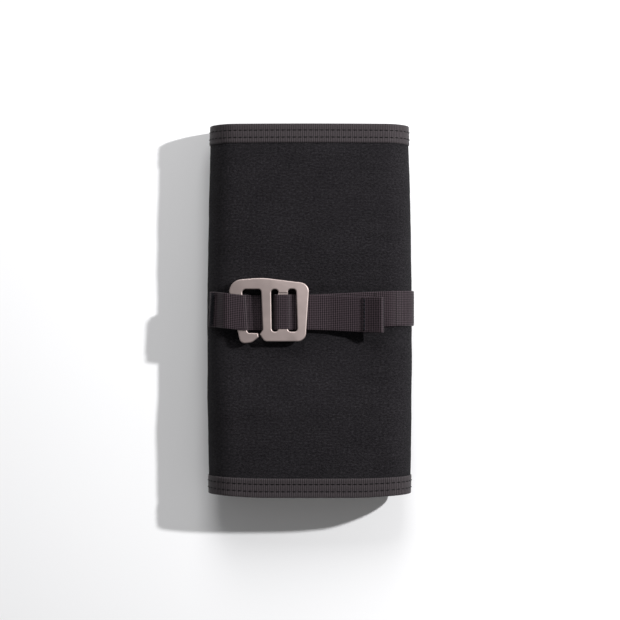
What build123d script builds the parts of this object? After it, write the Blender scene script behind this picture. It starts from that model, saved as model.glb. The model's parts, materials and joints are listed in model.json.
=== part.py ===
from build123d import *
import math
import os

# A pair of climbing skins folded up in their cloth storage wrap.
# Millimetres. X runs across the wrap, Y along it and Z up from the surface it lies on.

# Driving dimensions of the wrap
WRAP_WIDTH = 145.0
WRAP_LENGTH = 262.0
WRAP_THICKNESS = 39.15
OUTER_CLOTH = 0.9
LINING = 0.7
BINDING_TAPE = 0.65
BINDING_WIDTH = 13.0
LAYER_GAP = 1.4
FLAP_EDGE_X = 44.0
INNER_EDGE_X = -40.0

# Webbing strap and its sewn loop
WEBBING_WIDTH = 25.0
WEBBING = 1.2
RUNNING_GAP = 0.3
STRAP_SEAM_X = -20.0
HINGE_X = 55.0
TAIL_END_X = 53.0
HEM_START_X = 37.2
STRAP_MAIN_END_X = -26.6
LOOP_FOLD_X = -42.2
LOOP_SIDE_X = -58.5
LOOP_REJOIN_X = -64.0
ANCHOR_END_X = -33.0
LOOP_SEAM_X = -71.3

# Hook
HOOK_THICKNESS = 3.0
HOOK_EDGE_ROUND = 0.8
BAR_RECESS = 1.0

# Folded skins
SKIN_WIDTH = 106.0
SAVER_HALF = 0.2
GLUE_HALF = 0.45
SKIN_HALF = 1.55
RUN_PITCH = 3.5
NEAR_TURN_Y = 84.0
FAR_TURN_Y = -124.0
SKIN_END_Y = 100.0
GLUE_END_Y = 86.5
LOWER_SKIN_Z = 9.55
UPPER_SKIN_Z = 24.65

SHEET = OUTER_CLOTH + LINING
HALF = SHEET / 2
LENGTH_HALF = WRAP_LENGTH / 2
FLAP_Z = WEBBING + BINDING_TAPE + HALF
INNER_Z = FLAP_Z + SHEET + LAYER_GAP
FRONT_Z = FLAP_Z + WRAP_THICKNESS - SHEET
TOP = FRONT_Z + HALF
LEFT_X = -WRAP_WIDTH / 2 + HALF
RIGHT_X = WRAP_WIDTH / 2 - HALF
LEFT_R = (FRONT_Z - FLAP_Z) / 2
RIGHT_R = (FRONT_Z - INNER_Z) / 2
RIGHT_CENTRE_Z = (FRONT_Z + INNER_Z) / 2
LEFT_CENTRE_X = LEFT_X + LEFT_R
LEFT_CENTRE_Z = (FRONT_Z + FLAP_Z) / 2
STRAIGHT = 0.03

# Heights of the layers that cross on the front
MAIN_Z = TOP + RUNNING_GAP
TAIL_Z = MAIN_Z + WEBBING + RUNNING_GAP
HOOK_Z = TAIL_Z + WEBBING + RUNNING_GAP
HOOK_TOP = HOOK_Z + HOOK_THICKNESS
LOOP_TOP_Z = HOOK_TOP + RUNNING_GAP
BAR_TOP = HOOK_TOP - BAR_RECESS


def offset_route(points, radii, distance):
    """Moves a route sideways, to its left where distance is positive, and keeps its bends concentric."""
    moved = []
    new_radii = []
    headings = []
    for start, end in zip(points, points[1:]):
        length = math.dist(start, end)
        headings.append(((end[0] - start[0]) / length, (end[1] - start[1]) / length))
    for index, point in enumerate(points):
        before = headings[max(index - 1, 0)]
        after = headings[min(index, len(headings) - 1)]
        normal_x = -(before[1] + after[1])
        normal_y = before[0] + after[0]
        scale = distance * 2 / (normal_x**2 + normal_y**2)
        moved.append((point[0] + normal_x * scale, point[1] + normal_y * scale))
        if 0 < index < len(points) - 1:
            turn = before[0] * after[1] - before[1] * after[0]
            side = 1 if turn > 0 else -1
            new_radii.append(radii[index - 1] - side * distance)
    return moved, new_radii


def band_face(points, radii, right, left):
    """Flat face between two offsets of one route."""
    right_points, right_radii = offset_route(points, radii, right)
    left_points, left_radii = offset_route(points, radii, left)
    if radii:
        right_side = FilletPolyline(*right_points, radius=right_radii)
        left_side = FilletPolyline(*left_points, radius=left_radii)
    else:
        right_side = Line(*right_points)
        left_side = Line(*left_points)
    near = Line(right_points[0], left_points[0])
    far = Line(right_points[-1], left_points[-1])
    return make_face([*right_side.edges(), *left_side.edges(), near, far])


def across(face, y_low, y_high):
    """Extrudes a face drawn as X and Z from one Y to another."""
    return Pos(0, y_high, 0) * extrude(Plane.XZ * face, amount=y_high - y_low)


def along_width(face, half_width):
    """Extrudes a face drawn as Y and Z to both sides of the middle."""
    return extrude(Plane.YZ * face, amount=half_width, both=True)


def block(x_range, y_range, z_range):
    """Box between two corners."""
    sizes = [high - low for low, high in (x_range, y_range, z_range)]
    middles = [(high + low) / 2 for low, high in (x_range, y_range, z_range)]
    return Pos(*middles) * Box(*sizes)


def rod_x(radius, x_range, y, z):
    """Round bar along X."""
    length = x_range[1] - x_range[0]
    middle = (x_range[0] + x_range[1]) / 2
    return Pos(middle, y, z) * (Rot(0, 90, 0) * Cylinder(radius, length))


# The cloth runs from its inner edge along the back, up the right side, over the front,
# down the left side and along the back again to the free edge of the flap.
WRAP_ROUTE = [
    (INNER_EDGE_X, INNER_Z),
    (RIGHT_X, INNER_Z),
    (RIGHT_X, FRONT_Z),
    (LEFT_X, FRONT_Z),
    (LEFT_X, FLAP_Z),
    (FLAP_EDGE_X, FLAP_Z),
]
WRAP_RADII = [RIGHT_R - STRAIGHT, RIGHT_R - STRAIGHT, LEFT_R - STRAIGHT, LEFT_R - STRAIGHT]


def wrap_layer(inner, outer, y_low, y_high):
    """Part of the wrap's thickness, counted outwards from the middle of the cloth."""
    return across(band_face(WRAP_ROUTE, WRAP_RADII, -outer, -inner), y_low, y_high)


def end_binding(side):
    """Tape folded over one end of the cloth, all the way round the roll."""
    start = side * (LENGTH_HALF - BINDING_WIDTH)
    cloth_end = side * LENGTH_HALF
    tape_end = side * (LENGTH_HALF + BINDING_TAPE)
    tape = wrap_layer(-HALF - BINDING_TAPE, HALF + BINDING_TAPE, *sorted((start, tape_end)))
    cloth = wrap_layer(-HALF, HALF, *sorted((start, cloth_end)))
    return tape - cloth


def edge_binding(edge_x, inward, centre_z):
    """Tape folded over a long edge of the cloth; inward is the way back into the cloth along X."""
    y_range = (BINDING_WIDTH - LENGTH_HALF, LENGTH_HALF - BINDING_WIDTH)
    tape_x = sorted((edge_x - inward * BINDING_TAPE, edge_x + inward * BINDING_WIDTH))
    cloth_x = sorted((edge_x, edge_x + inward * BINDING_WIDTH))
    tape_z = (centre_z - HALF - BINDING_TAPE, centre_z + HALF + BINDING_TAPE)
    tape = block(tape_x, y_range, tape_z)
    return tape - block(cloth_x, y_range, (centre_z - HALF, centre_z + HALF))


WEBBING_Y = (-WEBBING_WIDTH / 2, WEBBING_WIDTH / 2)


def back_strap():
    """Strap sewn under the flap, then round the right side to the hinge line."""
    radius = RIGHT_R + HALF + RUNNING_GAP + WEBBING / 2
    side_x = RIGHT_X - RIGHT_R + radius
    low_z = RIGHT_CENTRE_Z - radius
    high_z = RIGHT_CENTRE_Z + radius
    route = [
        (STRAP_SEAM_X, WEBBING / 2),
        (FLAP_EDGE_X + 1.5, WEBBING / 2),
        (FLAP_EDGE_X + 5.0, low_z),
        (side_x, low_z),
        (side_x, high_z),
        (HINGE_X - 5.0, high_z),
    ]
    bends = [2.0, 2.0, radius - STRAIGHT, radius - STRAIGHT]
    strap = across(band_face(route, bends, -WEBBING / 2, WEBBING / 2), *WEBBING_Y)
    front_x = (HINGE_X - 20.0, HINGE_X + RUNNING_GAP / 2)
    return strap - block(front_x, (-20, 20), (RIGHT_CENTRE_Z, TOP + 5))


def left_side_route(outward, far_points, far_bends):
    """Route on the front and down the left side, at a distance outside the cloth."""
    radius = LEFT_R + HALF + outward
    route = [*far_points, (LEFT_CENTRE_X - radius, LEFT_CENTRE_Z + radius)]
    route.append((LEFT_CENTRE_X - radius, LEFT_CENTRE_Z))
    return route, [*far_bends, radius - STRAIGHT]


def trim_left(solid):
    """Cuts webbing on the left side off at the seam."""
    return solid - block((-90, LOOP_SEAM_X), (-30, 30), (0, TOP + 20))


def loop_anchor():
    """Lower webbing, sewn flat on the cloth under the loop."""
    route, bends = left_side_route(WEBBING / 2, [(ANCHOR_END_X, TOP + WEBBING / 2)], [])
    return trim_left(across(band_face(route, bends, -WEBBING / 2, WEBBING / 2), *WEBBING_Y))


def hook_loop():
    """Loop of webbing round the arm of the hook, sewn down at the left edge."""
    half = WEBBING / 2
    fold_x = LOOP_FOLD_X - half
    low_z = TOP + WEBBING + half
    high_z = LOOP_TOP_Z + half
    lower_route, lower_bends = left_side_route(WEBBING + half, [(fold_x - 4, low_z)], [])
    lower = across(band_face(lower_route, lower_bends, -half, half), *WEBBING_Y)
    fold_route = [(fold_x - 4, low_z), (fold_x, low_z), (fold_x, high_z), (fold_x - 4, high_z)]
    fold = across(band_face(fold_route, [1.4, 1.4], -half, half), *WEBBING_Y)
    joined_z = LEFT_CENTRE_Z + LEFT_R + HALF + 2 * WEBBING + half
    drop = LEFT_CENTRE_X - LOOP_REJOIN_X
    joined_r = LEFT_R + HALF + 2 * WEBBING + half
    joined_z = LEFT_CENTRE_Z + math.sqrt(joined_r**2 - drop**2)
    upper_route = [(fold_x - 4, high_z), (LOOP_SIDE_X, high_z), (LOOP_REJOIN_X, joined_z)]
    upper = across(band_face(upper_route, [3.0], -half, half), *WEBBING_Y)
    seam_route, seam_bends = left_side_route(2 * WEBBING + half, [(fold_x, TOP + 2.5 * WEBBING)], [])
    seam = across(band_face(seam_route, seam_bends, -half, half), *WEBBING_Y)
    seam = seam - block((LOOP_REJOIN_X + 0.3, 0), (-30, 30), (0, TOP + 20))
    return trim_left(lower + fold + upper + seam)


def loop_bartack():
    """Raised stitching across the seam of the loop."""
    outward = 3 * WEBBING
    route, bends = left_side_route(outward + 0.15, [(LOOP_FOLD_X, TOP + outward + 0.15)], [])
    tack = across(band_face(route, bends, -0.15, 0.15), -11.5, 11.5)
    keep = block((LOOP_SEAM_X + 1.4, LOOP_SEAM_X + 4.6), (-12, 12), (LEFT_CENTRE_Z, TOP + 5))
    return tack & keep


def strap_main():
    """Lower run of the strap over the front."""
    x_range = (STRAP_MAIN_END_X, HINGE_X - RUNNING_GAP / 2)
    return block(x_range, WEBBING_Y, (MAIN_Z, MAIN_Z + WEBBING))


# Corners of the hook as seen from the front, each with its radius
HOOK_OUTLINE = [
    ((-58.3, 21.2), 9.0),
    ((-33.4, 23.3), 60.0),
    ((0.05, 19.2), 6.5),
    ((-2.75, -21.6), 6.0),
    ((-31.6, -21.6), 3.6),
    ((-34.9, -16.5), 0.9),
    ((-32.8, -13.4), 1.4),
    ((-34.0, 15.1), 2.0),
    ((-47.5, 15.1), 2.6),
    ((-43.4, -15.5), 1.6),
    ((-36.0, -15.7), 1.1),
    ((-35.6, -18.6), 1.2),
    ((-40.4, -22.3), 6.0),
    ((-48.3, -23.2), 4.0),
]
LEFT_SLOT = [(-26.9, 15.0), (-21.9, 15.0), (-21.9, -14.6), (-26.4, -14.6)]
RIGHT_SLOT = [(-15.1, 15.2), (-9.4, 15.2), (-8.4, -14.6), (-15.1, -14.6)]
SLOT_ROUND = 2.1
BAR_X = (-21.9, -15.1)


def g_hook():
    """Flat hook with a hooked arm on the left and a slotted frame on the right."""
    corners = [corner for corner, _ in HOOK_OUTLINE]
    rounds = [radius for _, radius in HOOK_OUTLINE]
    face = make_face(FilletPolyline(*corners, radius=rounds, close=True))
    for slot in (LEFT_SLOT, RIGHT_SLOT):
        face = face - make_face(FilletPolyline(*slot, radius=SLOT_ROUND, close=True))
    plate = Pos(0, 0, HOOK_Z) * extrude(face, amount=HOOK_THICKNESS)
    rims = plate.edges().group_by(Axis.Z)
    plate = fillet([*rims[0], *rims[-1]], HOOK_EDGE_ROUND)
    recess = block((BAR_X[0] - 0.9, BAR_X[1] + 0.9), (-13.0, 13.0), (BAR_TOP, HOOK_TOP + 1))
    return plate - recess


BIGHT_SPREAD = 1.8


def strap_bight():
    """Short turn of webbing over the centre bar of the hook, with its legs spread at the bottom."""
    half = WEBBING / 2
    left = BAR_X[0] - 0.4 - half
    right = BAR_X[1] + 0.4 + half
    top = BAR_TOP + half
    route = [(left - BIGHT_SPREAD, TAIL_Z), (left, top), (right, top), (right + BIGHT_SPREAD, TAIL_Z)]
    return across(band_face(route, [0.8, 0.8], -half, half), *WEBBING_Y)


TAIL_START_X = -3.4
TAIL_LIFT_X = 14.0
HEM_LIFT = 4.0
END_LIFT = 9.0
TAIL_MID_Z = TAIL_Z + WEBBING / 2
TAIL_LAST_X = TAIL_END_X - 0.8 * WEBBING
HEM_RISE = END_LIFT - HEM_LIFT
HEM_INSET = 1.6
HEM_SLOPE = math.degrees(math.atan2(HEM_RISE, TAIL_LAST_X - HEM_START_X))
HEM_ROUTE = [(HEM_START_X, TAIL_MID_Z + HEM_LIFT), (TAIL_LAST_X, TAIL_MID_Z + END_LIFT)]


def strap_tail():
    """Free end of the strap: flat under the hook, then standing up a little towards its end."""
    route = [(TAIL_START_X, TAIL_MID_Z), (TAIL_LIFT_X, TAIL_MID_Z), *HEM_ROUTE]
    return across(band_face(route, [24.0, 16.0], -WEBBING / 2, WEBBING / 2), *WEBBING_Y)


def on_hem(share, out):
    """Point on the hem as X and Z: share of the way along it, and distance out from its middle line."""
    slope = math.radians(HEM_SLOPE)
    x = HEM_START_X + share * (TAIL_LAST_X - HEM_START_X) - out * math.sin(slope)
    z = TAIL_MID_Z + HEM_LIFT + share * HEM_RISE + out * math.cos(slope)
    return x, z


def tail_hem():
    """End of the strap turned back on itself."""
    half = WEBBING / 2
    inset_rise = HEM_INSET * math.tan(math.radians(HEM_SLOPE))
    hem_start = (HEM_START_X + HEM_INSET, TAIL_MID_Z + HEM_LIFT + inset_rise)
    hem = across(band_face([hem_start, HEM_ROUTE[1]], [], half, 3 * half), *WEBBING_Y)
    x, z = on_hem(1.0, half)
    fold = Pos(x, 0, z) * (Rot(90, 0, 0) * Cylinder(WEBBING, WEBBING_WIDTH))
    behind = Pos(x, 0, z) * (Rot(0, -HEM_SLOPE, 0) * (Pos(-5, 0, 0) * Box(10, 40, 10)))
    return hem + (fold - behind)


def tail_stitching():
    """Row of raised stitches across the hem."""
    stitches = []
    count = 6
    pitch = 3.9
    x, z = on_hem(0.2, 1.5 * WEBBING + 0.15)
    for index in range(count):
        y = (index - (count - 1) / 2) * pitch
        stitches.append(Pos(x, y, z) * (Rot(0, -HEM_SLOPE, 0) * Box(0.7, 2.6, 0.25)))
    return Compound(children=stitches)


# Folded skin: four double runs, the two halves of the skin glue to glue
def skin_route(first_z, end_y):
    """Route of the doubled skin in Y and Z, from its middle fold to its two ends."""
    heights = [first_z + run * RUN_PITCH for run in range(4)]
    return [
        (NEAR_TURN_Y, heights[0]),
        (FAR_TURN_Y, heights[0]),
        (FAR_TURN_Y, heights[1]),
        (NEAR_TURN_Y, heights[1]),
        (NEAR_TURN_Y, heights[2]),
        (FAR_TURN_Y, heights[2]),
        (FAR_TURN_Y, heights[3]),
        (end_y, heights[3]),
    ]


def doubled(first_z, end_y, half):
    """Doubled skin up to half its thickness, with the round middle fold."""
    bends = [RUN_PITCH / 2 - 0.01] * 6
    run = band_face(skin_route(first_z, end_y), bends, -half, half)
    fold = Pos(NEAR_TURN_Y, first_z) * Circle(half)
    return along_width(run + fold, SKIN_WIDTH / 2)


RIVET_X = (-18.0, 0.0, 18.0)
RIVET_Y = 94.0
RIVET_R = 1.6
RIVET_HEAD = 0.25
PLATE_HALF = 26.0
PLATE_START_Y = 88.0
LEAF = 0.7
BARREL_Y = 104.0
BARREL_Z = 0.2
BARREL_R = 2.4
WIRE_R = 1.5
BAIL_HALF = 30.0
BAIL_END_Y = 127.0
KNUCKLE_X = (14.0, 26.0)
STRAP_HALF = 10.0
CLIP_HALF = 12.0
CLIP_BASE = 1.2
PIN_Y = 113.0
PIN_Z = -5.4
PIN_R = 1.2
LEVER_END_Y = 122.6
TAIL_STRAP_END_Y = 119.0
RIVET_HEAD_R = 2.6
PLATE_WALL = 1.2
NECK_OVERLAP = 0.2
BORE_PLAY = 0.1
CLIP_Y = (107.0, 120.5)
CLIP_WALL = 1.4
CHEEK_Y = (108.5, 117.5)
CHEEK_DROP = 8.0
PRONG_START_Y = 119.3
PRONG_DROP = 4.4
LEVER_PLAY = 1.7
CAM_R = 2.1
LIP_R = 1.1
ACROSS_CLIP = (-20, 20)


def rivets(level):
    """Three rivets through the tip plate and the upper end of the skin."""
    solids = []
    for x in RIVET_X:
        shank_top = SKIN_HALF + LEAF
        shank = Pos(x, RIVET_Y, level + (shank_top - 0.25) / 2) * Cylinder(RIVET_R - 0.05, shank_top + 0.25)
        head = Pos(x, RIVET_Y, level + shank_top + RIVET_HEAD / 2) * Cylinder(RIVET_HEAD_R, RIVET_HEAD)
        solids.append(shank + head)
    return Compound(children=solids)


def tip_plate(level):
    """Folded plate that grips the tip end of the skin and carries the wire loop."""
    x_range = (-PLATE_HALF, PLATE_HALF)
    y_range = (PLATE_START_Y, SKIN_END_Y + PLATE_WALL)
    upper = block(x_range, y_range, (level + SKIN_HALF, level + SKIN_HALF + LEAF))
    lower = block(x_range, y_range, (level + GLUE_HALF - LEAF, level + GLUE_HALF))
    web_y = (SKIN_END_Y, SKIN_END_Y + PLATE_WALL)
    web = block(x_range, web_y, (level + GLUE_HALF - LEAF, level + SKIN_HALF + LEAF))
    plate = upper + lower + web
    for side in (-1, 1):
        span = sorted((side * KNUCKLE_X[0], side * KNUCKLE_X[1]))
        barrel = rod_x(BARREL_R, span, BARREL_Y, level + BARREL_Z)
        neck_y = (SKIN_END_Y + PLATE_WALL - NECK_OVERLAP, BARREL_Y)
        neck = block(span, neck_y, (level + GLUE_HALF - LEAF, level + BARREL_R + BARREL_Z))
        plate = plate + barrel + neck
        plate = plate - rod_x(WIRE_R + BORE_PLAY, (span[0] - 1, span[1] + 1), BARREL_Y, level + BARREL_Z)
    for x in RIVET_X:
        plate = plate - Pos(x, RIVET_Y, level) * Cylinder(RIVET_R, 12)
    return plate


def tip_bail(level):
    """Wire loop that goes over the ski tip."""
    z = level + BARREL_Z
    end_x = KNUCKLE_X[0] + 0.5
    path = FilletPolyline(
        (end_x, BARREL_Y, z),
        (BAIL_HALF, BARREL_Y, z),
        (BAIL_HALF, BAIL_END_Y, z),
        (-BAIL_HALF, BAIL_END_Y, z),
        (-BAIL_HALF, BARREL_Y, z),
        (-end_x, BARREL_Y, z),
        radius=3.5,
    )
    section = Plane(origin=(end_x, BARREL_Y, z), z_dir=(1, 0, 0)) * Circle(WIRE_R)
    return sweep(section, path=path)


def tail_strap(level):
    """Short strap sewn to the tail end of the skin."""
    z_range = (level - SKIN_HALF - WEBBING, level - SKIN_HALF)
    return block((-STRAP_HALF, STRAP_HALF), (PLATE_START_Y, TAIL_STRAP_END_Y), z_range)


def tail_clip(level):
    """Clip over the strap, with two cheeks for the lever's pin and two hooks for the ski tail."""
    low_z = level - SKIN_HALF
    clip = block((-CLIP_HALF, CLIP_HALF), CLIP_Y, (low_z, low_z + CLIP_BASE))
    for side in (-1, 1):
        cheek_x = sorted((side * (CLIP_HALF - CLIP_WALL), side * CLIP_HALF))
        cheek = block(cheek_x, CHEEK_Y, (level - CHEEK_DROP, low_z))
        prong = block(cheek_x, (PRONG_START_Y, CLIP_Y[1]), (level - PRONG_DROP, low_z))
        clip = clip + cheek + prong
    return clip - rod_x(PIN_R, ACROSS_CLIP, PIN_Y, level + PIN_Z)


def clip_pin(level):
    """Pin of the lever, fixed in the cheeks."""
    return rod_x(PIN_R, (-CLIP_HALF - 0.4, CLIP_HALF + 0.4), PIN_Y, level + PIN_Z)


def clip_lever(level):
    """Cam lever that presses the strap against the clip."""
    span = (-CLIP_HALF + LEVER_PLAY, CLIP_HALF - LEVER_PLAY)
    z = level + PIN_Z
    cam = rod_x(CAM_R, span, PIN_Y, z)
    arm = block(span, (PIN_Y, LEVER_END_Y), (z - 1.0, z + 0.3))
    lip = rod_x(LIP_R, span, LEVER_END_Y - 0.6, z - 0.2)
    return cam + arm + lip - rod_x(PIN_R + BORE_PLAY, ACROSS_CLIP, PIN_Y, z)


def skin_parts(name, first_z):
    """Every piece of one folded skin."""
    level = first_z + 3 * RUN_PITCH
    carrier = doubled(first_z, SKIN_END_Y, SKIN_HALF) - doubled(first_z, SKIN_END_Y + 1, GLUE_HALF)
    for x in RIVET_X:
        hole = Pos(x, RIVET_Y, level + GLUE_HALF + 1) * Cylinder(RIVET_R, 2)
        carrier = carrier - hole
    glue = doubled(first_z, GLUE_END_Y, GLUE_HALF) - doubled(first_z, GLUE_END_Y + 1, SAVER_HALF)
    return {
        name + "_skin_plush": carrier,
        name + "_skin_glue": glue,
        name + "_skin_saver": doubled(first_z, GLUE_END_Y, SAVER_HALF),
        name + "_tip_plate": tip_plate(level),
        name + "_tip_rivets": rivets(level),
        name + "_tip_bail": tip_bail(level),
        name + "_tail_strap": tail_strap(level),
        name + "_tail_clip": tail_clip(level),
        name + "_clip_pin": clip_pin(level),
        name + "_clip_lever": clip_lever(level),
    }


parts = {
    "outer_shell": wrap_layer(HALF - OUTER_CLOTH, HALF, -LENGTH_HALF, LENGTH_HALF),
    "inner_lining": wrap_layer(-HALF, LINING - HALF, -LENGTH_HALF, LENGTH_HALF),
    "end_binding_top": end_binding(1),
    "end_binding_bottom": end_binding(-1),
    "flap_edge_binding": edge_binding(FLAP_EDGE_X, -1, FLAP_Z),
    "inner_edge_binding": edge_binding(INNER_EDGE_X, 1, INNER_Z),
    "back_strap": back_strap(),
    "loop_anchor": loop_anchor(),
    "hook_loop": hook_loop(),
    "loop_bartack": loop_bartack(),
    "strap_main": strap_main(),
    "g_hook": g_hook(),
    "strap_bight": strap_bight(),
    "strap_tail": strap_tail(),
    "tail_hem": tail_hem(),
    "tail_stitching": tail_stitching(),
    **skin_parts("lower", LOWER_SKIN_Z),
    **skin_parts("upper", UPPER_SKIN_Z),
}

# The origin is the middle of the bottom of the whole object's box.
whole = Compound(children=[Compound(children=[*solid.solids()]) for solid in parts.values()])
box = whole.bounding_box()
shift = Pos(-(box.min.X + box.max.X) / 2, -(box.min.Y + box.max.Y) / 2, -box.min.Z)

os.makedirs("parts", exist_ok=True)
for node, shape in parts.items():
    export_step(shift * shape, "parts/" + node + ".step")
print("overall size", box.size)
print("shift", shift.position)
print("front of cloth", TOP, "hook", HOOK_Z, HOOK_TOP, "hinge", HINGE_X, HOOK_Z)
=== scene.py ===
import json
import math

import bmesh
import bpy
import numpy as np
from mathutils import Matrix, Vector, noise


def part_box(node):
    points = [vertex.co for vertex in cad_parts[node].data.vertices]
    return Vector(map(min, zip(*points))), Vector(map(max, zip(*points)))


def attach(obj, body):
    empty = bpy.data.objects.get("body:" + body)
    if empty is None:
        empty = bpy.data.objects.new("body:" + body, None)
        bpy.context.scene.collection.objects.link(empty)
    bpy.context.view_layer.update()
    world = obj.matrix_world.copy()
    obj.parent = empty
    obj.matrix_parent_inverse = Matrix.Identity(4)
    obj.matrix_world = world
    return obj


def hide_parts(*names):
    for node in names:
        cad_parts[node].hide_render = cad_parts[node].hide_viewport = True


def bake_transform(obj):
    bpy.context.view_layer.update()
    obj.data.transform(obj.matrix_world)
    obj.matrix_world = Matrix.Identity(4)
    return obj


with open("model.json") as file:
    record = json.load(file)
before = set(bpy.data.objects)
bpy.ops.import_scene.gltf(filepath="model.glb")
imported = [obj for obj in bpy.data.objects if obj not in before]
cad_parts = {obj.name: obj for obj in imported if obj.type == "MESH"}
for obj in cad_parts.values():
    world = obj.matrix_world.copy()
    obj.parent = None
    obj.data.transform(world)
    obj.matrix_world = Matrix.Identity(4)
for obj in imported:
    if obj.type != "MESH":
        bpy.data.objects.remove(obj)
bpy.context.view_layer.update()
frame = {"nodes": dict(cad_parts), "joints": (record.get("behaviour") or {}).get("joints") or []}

MM = 0.001

# ---------------------------------------------------------------- places read from the frame
shell_low, shell_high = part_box("outer_shell")
inner_low, inner_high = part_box("inner_edge_binding")
flap_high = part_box("flap_edge_binding")[1]
main_low, main_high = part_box("strap_main")
tail_low, tail_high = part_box("strap_tail")
hem_low, hem_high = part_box("tail_hem")
bight_low, bight_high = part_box("strap_bight")
hook_low, hook_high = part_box("g_hook")
loop_low, loop_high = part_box("hook_loop")
anchor_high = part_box("loop_anchor")[1]
back_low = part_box("back_strap")[0]

SHEET = 1.6 * MM
HALF = SHEET / 2
TAPE = 0.65 * MM
BINDING_WIDTH = 13.0 * MM
TAPE_RIB = 1.3 * MM
WEB_RIB = 1.33 * MM
WEBBING = main_high.z - main_low.z
CLOTH_TOP = shell_high.z
END_Y = shell_high.y
LEFT_X = shell_low.x + HALF
RIGHT_X = shell_high.x - HALF
FRONT_Z = shell_high.z - HALF
FLAP_Z = shell_low.z + HALF
INNER_Z = (inner_low.z + inner_high.z) / 2
INNER_X = inner_low.x + TAPE
FLAP_X = flap_high.x - TAPE
LEFT_R = (FRONT_Z - FLAP_Z) / 2
RIGHT_R = (FRONT_Z - INNER_Z) / 2
MIDDLE_X = (shell_low.x + shell_high.x) / 2
HINGE = Vector(frame["joints"][0]["pos_m"])


# ---------------------------------------------------------------- routes
def rounded(corners, radii, steps=24):
    """Dense polyline through corners in a plane, with an arc at each inner corner."""
    corners = [np.array(c, float) for c in corners]
    line = [corners[0]]
    for before, corner, after, radius in zip(corners, corners[1:], corners[2:], radii):
        back = (before - corner) / np.linalg.norm(before - corner)
        ahead = (after - corner) / np.linalg.norm(after - corner)
        half_angle = math.acos(float(np.clip(back @ ahead, -1, 1))) / 2
        bisector = (back + ahead) / np.linalg.norm(back + ahead)
        centre = corner + bisector * radius / math.sin(half_angle)
        start = corner + back * radius / math.tan(half_angle) - centre
        end = corner + ahead * radius / math.tan(half_angle) - centre
        sweep = math.pi - 2 * half_angle
        for step in range(steps + 1):
            share = step / steps
            point = start * math.sin((1 - share) * sweep) + end * math.sin(share * sweep)
            line.append(centre + point / math.sin(sweep))
    line.append(corners[-1])
    return np.array(line)


def spaced(line, step):
    """The same line with evenly spaced points."""
    gaps = np.linalg.norm(np.diff(line, axis=0), axis=1)
    along = np.concatenate([[0], np.cumsum(gaps)])
    count = max(2, round(along[-1] / step))
    places = np.linspace(0, along[-1], count + 1)
    return np.column_stack([np.interp(places, along, line[:, k]) for k in range(line.shape[1])])


def headings(line):
    """Unit tangents of a polyline."""
    ahead = np.gradient(line, axis=0)
    return ahead / np.linalg.norm(ahead, axis=1)[:, None]


def in_section(line, y=0.0):
    """A line of X and Z as points in space, with its right-hand normals."""
    ahead = headings(line)
    points = np.column_stack([line[:, 0], np.full(len(line), y), line[:, 1]])
    normals = np.column_stack([ahead[:, 1], np.zeros(len(line)), -ahead[:, 0]])
    return points, normals


# ---------------------------------------------------------------- meshes
def mesh_object(name, points, faces, uvs=None, smooth=True):
    """Object in the scene from points and faces, with flat UVs when given."""
    mesh = bpy.data.meshes.new(name)
    mesh.from_pydata([tuple(p) for p in points], [], [tuple(f) for f in faces])
    if uvs is not None:
        layer = mesh.uv_layers.new(name="flat")
        corners = np.zeros(len(mesh.loops), np.int64)
        mesh.loops.foreach_get("vertex_index", corners)
        layer.data.foreach_set("uv", np.asarray(uvs)[corners].ravel().astype(np.float32))
    if smooth:
        mesh.polygons.foreach_set("use_smooth", [True] * len(mesh.polygons))
    mesh.validate()
    item = bpy.data.objects.new(name, mesh)
    bpy.context.scene.collection.objects.link(item)
    return item


def tape_ring(half_width, half_thick, columns, round_steps=3):
    """Cross-section of a flat strip: rows of (across, out), with rounded edges."""
    flat = half_width - half_thick
    top = [(flat - 2 * flat * k / columns, half_thick) for k in range(columns + 1)]
    left = []
    right = []
    for k in range(1, round_steps + 1):
        angle = math.pi * k / (round_steps + 1)
        reach = half_thick * math.sin(angle)
        left.append((-flat - reach, half_thick * math.cos(angle)))
        right.append((flat + reach, -half_thick * math.cos(angle)))
    bottom = [(-flat + 2 * flat * k / columns, -half_thick) for k in range(columns + 1)]
    return np.array(top + left + bottom + right)


def swept(name, points, normals, across, ring, relief=None, shape=None):
    """Closed strip: the ring carried along points, with normals out of it and across over it."""
    rows, count = len(points), len(ring)
    gaps = np.linalg.norm(np.diff(points, axis=0), axis=1)
    along = np.concatenate([[0], np.cumsum(gaps)])
    wide = np.tile(ring[:, 0], (rows, 1))
    out = np.tile(ring[:, 1], (rows, 1))
    far = np.tile(along[:, None], (1, count))
    if relief is not None:
        out = out + np.sign(out) * relief(far, wide)
    across = np.broadcast_to(np.asarray(across, float), points.shape)
    where = points[:, None, :] + across[:, None, :] * wide[..., None] + normals[:, None, :] * out[..., None]
    where = where.reshape(-1, 3)
    if shape is not None:
        where = shape(where)
    faces = []
    for row in range(rows - 1):
        for k in range(count):
            a = row * count + k
            b = row * count + (k + 1) % count
            faces.append((a, b, b + count, a + count))
    faces.append(tuple(range(count - 1, -1, -1)))
    faces.append(tuple(range((rows - 1) * count, rows * count)))
    uvs = np.column_stack([far.ravel(), wide.ravel()])
    item = mesh_object(name, where, faces, uvs)
    outward(item)
    return item


def outward(item):
    """Turns every face of a closed mesh to look outwards."""
    work = bmesh.new()
    work.from_mesh(item.data)
    bmesh.ops.recalc_face_normals(work, faces=work.faces)
    work.to_mesh(item.data)
    work.free()


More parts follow.
